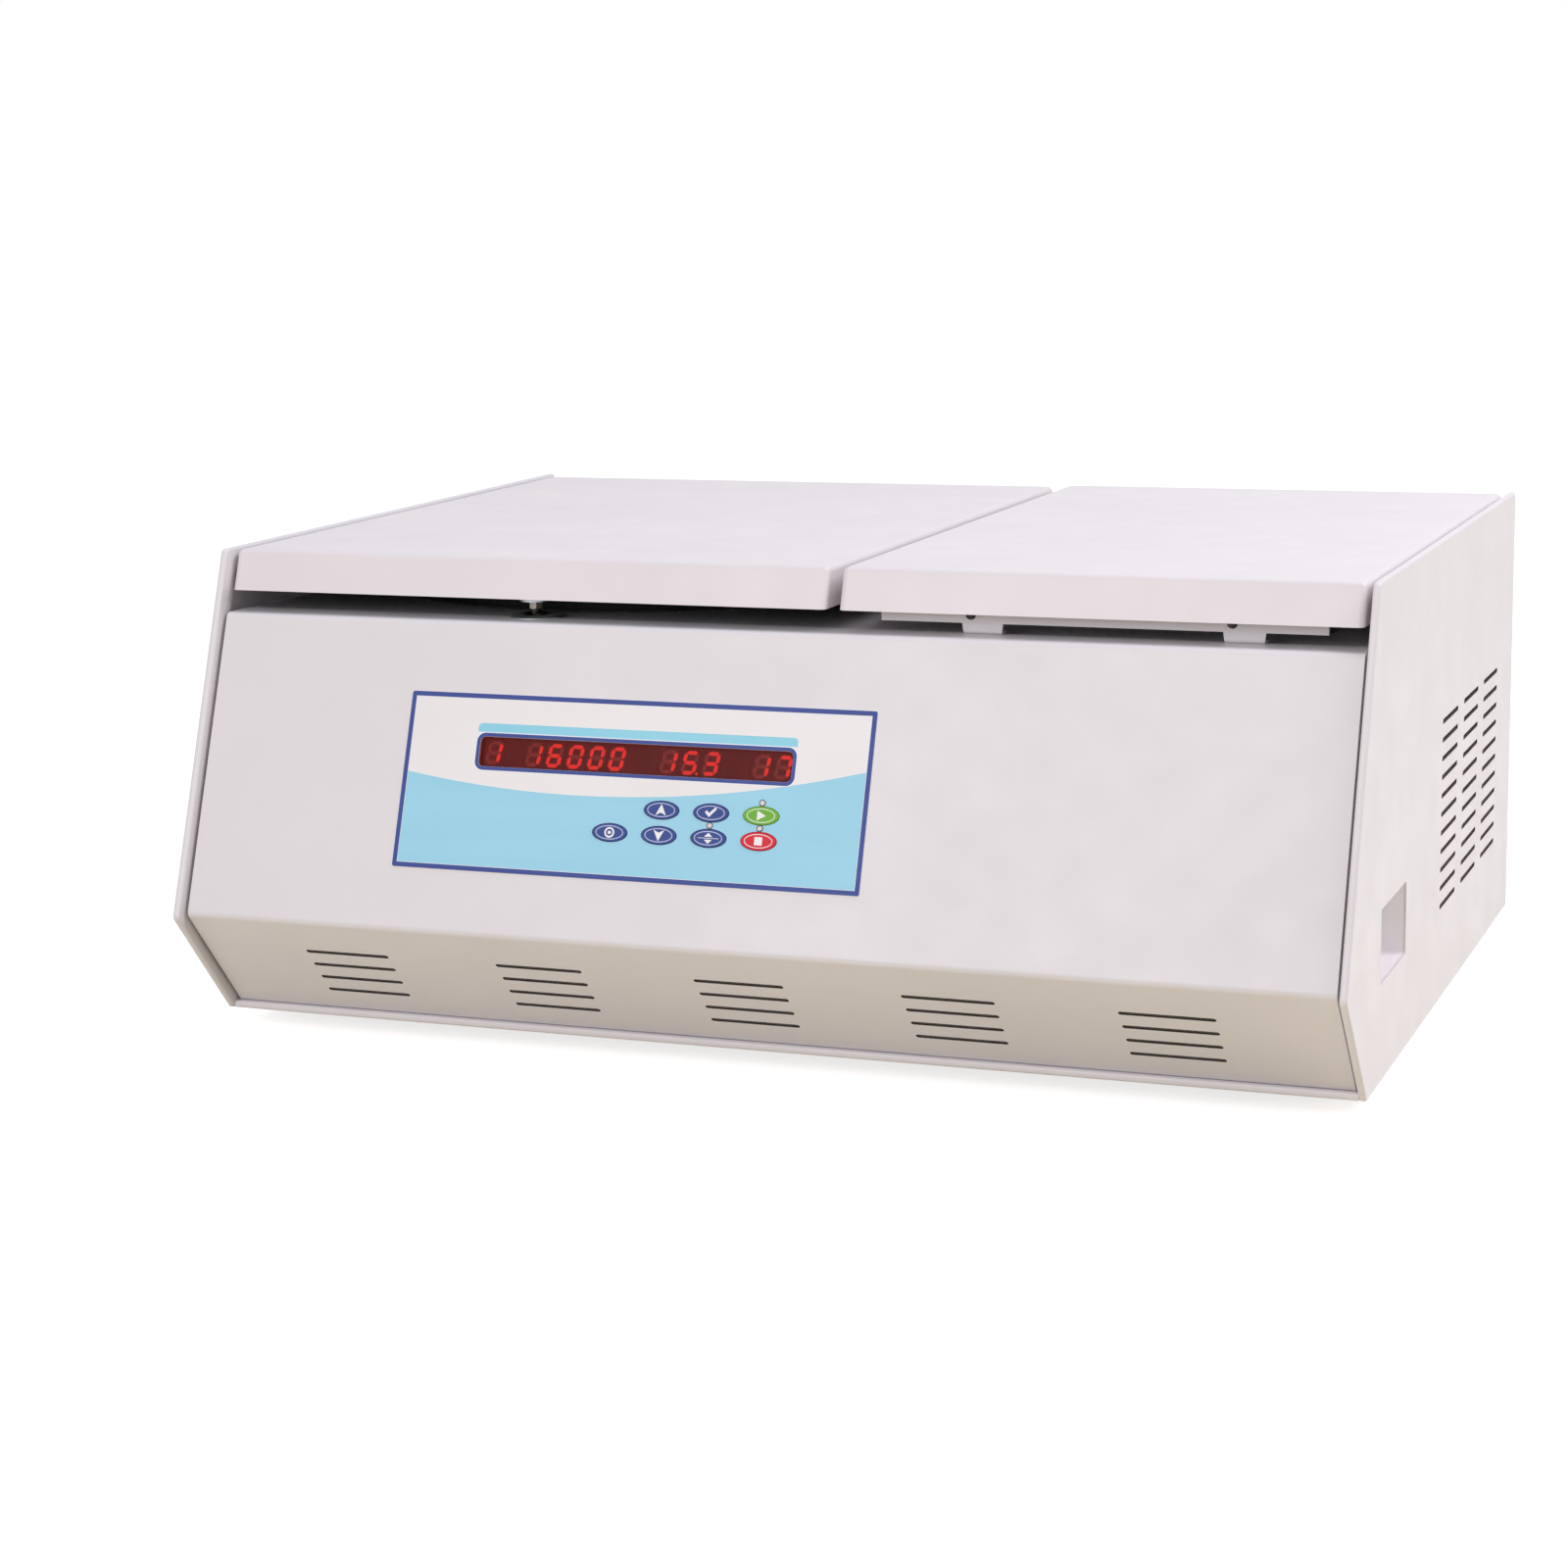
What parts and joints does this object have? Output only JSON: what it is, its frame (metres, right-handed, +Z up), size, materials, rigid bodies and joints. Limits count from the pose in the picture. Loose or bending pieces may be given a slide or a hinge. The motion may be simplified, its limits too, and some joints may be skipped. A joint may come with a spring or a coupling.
{
  "type": "microplate centrifuge",
  "caption": "Low refrigerated bench centrifuge with wedge front, two top covers, swing-out plate rotor, keypad and display.",
  "frame": {"origin": "on the bench, midway between the sides and between the knee line and the power switch", "axes": "+X to the instrument's right, +Y to its back, +Z up; the control panel faces -Y"},
  "size_m": [0.6834, 0.546, 0.2855],
  "materials": {
    "cabinet_paint": "satin light grey powder coat",
    "lid_paint": "satin light grey powder coat",
    "galvanised_steel": "bright zinc-plated sheet",
    "stainless_steel": "drawn stainless sheet",
    "black_plastic": "moulded, fine texture",
    "dark_rubber": "matt black rubber",
    "foam": "closed-cell insulation foam",
    "overlay_film": "printed polyester film, light blue and off-white",
    "red_filter": "dark red tinted window",
    "display_black": "seven-segment display modules",
    "circuit_board": "green solder mask",
    "zinc_screw": "bright zinc",
    "cast_aluminium": "fine bead blast",
    "anodised_rotor": "dark anodised",
    "bucket_metal": "bright anodised",
    "steel_pin": "ground steel",
    "copper_tube": "copper refrigerant tube",
    "black_enamel": "gloss black enamel",
    "key_blue": "blue key",
    "key_green": "green key",
    "key_red": "red key",
    "lamp_lens": "milky grey indicator lens",
    "pocket_plastic": "moulded off-white hand hold",
    "liner_paint": "dark grey paint",
    "grey_feet": "black rubber feet"
  },
  "bodies": {
    "cabinet": {"base_pan": "cabinet_paint", "left_side_panel": "cabinet_paint", "right_side_panel": "cabinet_paint", "handle_pockets": "pocket_plastic", "front_panel": "cabinet_paint", "rear_panel": "cabinet_paint", "deck_plate": "cabinet_paint", "bulkhead": "galvanised_steel", "machine_cover": "lid_paint", "cover_rails": "cabinet_paint", "cover_screws": "zinc_screw", "chamber_bowl": "stainless_steel", "evaporator_coil": "copper_tube", "chamber_insulation": "foam", "chamber_gasket": "dark_rubber", "shaft_boot": "dark_rubber", "keypad_overlay": "overlay_film", "display_filter": "red_filter", "display_digits": "display_black", "control_board": "circuit_board", "key_switches": "black_plastic", "status_lights": "lamp_lens", "board_pillars": "zinc_screw", "lid_lock": "black_plastic", "hinge_fixed_leaves": "stainless_steel", "hinge_pins": "steel_pin", "motor_posts": "galvanised_steel", "rubber_mounts": "dark_rubber", "motor_plate": "cast_aluminium", "motor_housing": "black_enamel", "shaft_bearings": "steel_pin", "compressor": "black_enamel", "condenser": "cast_aluminium", "fan_shroud": "galvanised_steel", "fan_motor": "black_enamel", "refrigerant_pipes": "copper_tube", "power_board": "circuit_board", "power_inlet": "black_plastic", "switch_housing": "black_plastic", "feet": "grey_feet"},
    "lid": {"lid_shell": "lid_paint", "lid_liner": "liner_paint", "lid_foam": "foam", "lid_striker": "steel_pin", "hinge_moving_leaves": "stainless_steel"},
    "rotor": {"rotor_yoke": "anodised_rotor", "bucket_pins": "steel_pin", "drive_shaft": "steel_pin", "rotor_nut": "anodised_rotor"},
    "left_bucket": {"left_bucket": "bucket_metal"},
    "right_bucket": {"right_bucket": "bucket_metal"},
    "fan": {"fan_blades": "black_plastic"},
    "power_rocker": {"switch_rocker": "black_plastic"},
    "key_up": {"key_up": "key_blue"},
    "key_down": {"key_down": "key_blue"},
    "key_set_left": {"key_set_left": "key_blue"},
    "key_set_right": {"key_set_right": "key_blue"},
    "key_mode": {"key_mode": "key_blue"},
    "key_start": {"key_start": "key_green"},
    "key_stop": {"key_stop": "key_red"}
  },
  "joints": [
    {"name": "lid_hinge", "type": "hinge", "parent": "cabinet", "child": "lid", "pos_m": [-0.1497, 0.25078, 0.25445], "axis": [-1, 0, 0], "range_deg": [0, 75]},
    {"name": "rotor_spin", "type": "hinge", "parent": "cabinet", "child": "rotor", "pos_m": [-0.1497, 0.03175, 0.2036], "axis": [0, 0, 1], "continuous": true},
    {"name": "left_bucket_swing", "type": "hinge", "parent": "rotor", "child": "left_bucket", "pos_m": [-0.2177, 0.03175, 0.2036], "axis": [0, 1, 0], "range_deg": [0, 90]},
    {"name": "right_bucket_swing", "type": "hinge", "parent": "rotor", "child": "right_bucket", "pos_m": [-0.0817, 0.03175, 0.2036], "axis": [0, -1, 0], "range_deg": [0, 90]},
    {"name": "fan_spin", "type": "hinge", "parent": "cabinet", "child": "fan", "pos_m": [0.28924, 0.10391, 0.0975], "axis": [1, 0, 0], "continuous": true},
    {"name": "power_rocker_tilt", "type": "hinge", "parent": "cabinet", "child": "power_rocker", "pos_m": [0.19174, 0.26748, 0.057], "axis": [1, 0, 0], "range_deg": [0, 20]},
    {"name": "key_up_press", "type": "slide", "parent": "cabinet", "child": "key_up", "axis": [0, 0.9382, -0.3461], "range_m": [0, 0.0005], "stiffness_N_per_m": 4000},
    {"name": "key_down_press", "type": "slide", "parent": "cabinet", "child": "key_down", "axis": [0, 0.9382, -0.3461], "range_m": [0, 0.0005], "stiffness_N_per_m": 4000},
    {"name": "key_set_left_press", "type": "slide", "parent": "cabinet", "child": "key_set_left", "axis": [0, 0.9382, -0.3461], "range_m": [0, 0.0005], "stiffness_N_per_m": 4000},
    {"name": "key_set_right_press", "type": "slide", "parent": "cabinet", "child": "key_set_right", "axis": [0, 0.9382, -0.3461], "range_m": [0, 0.0005], "stiffness_N_per_m": 4000},
    {"name": "key_mode_press", "type": "slide", "parent": "cabinet", "child": "key_mode", "axis": [0, 0.9382, -0.3461], "range_m": [0, 0.0005], "stiffness_N_per_m": 4000},
    {"name": "key_start_press", "type": "slide", "parent": "cabinet", "child": "key_start", "axis": [0, 0.9382, -0.3461], "range_m": [0, 0.0005], "stiffness_N_per_m": 4000},
    {"name": "key_stop_press", "type": "slide", "parent": "cabinet", "child": "key_stop", "axis": [0, 0.9382, -0.3461], "range_m": [0, 0.0005], "stiffness_N_per_m": 4000}
  ]
}
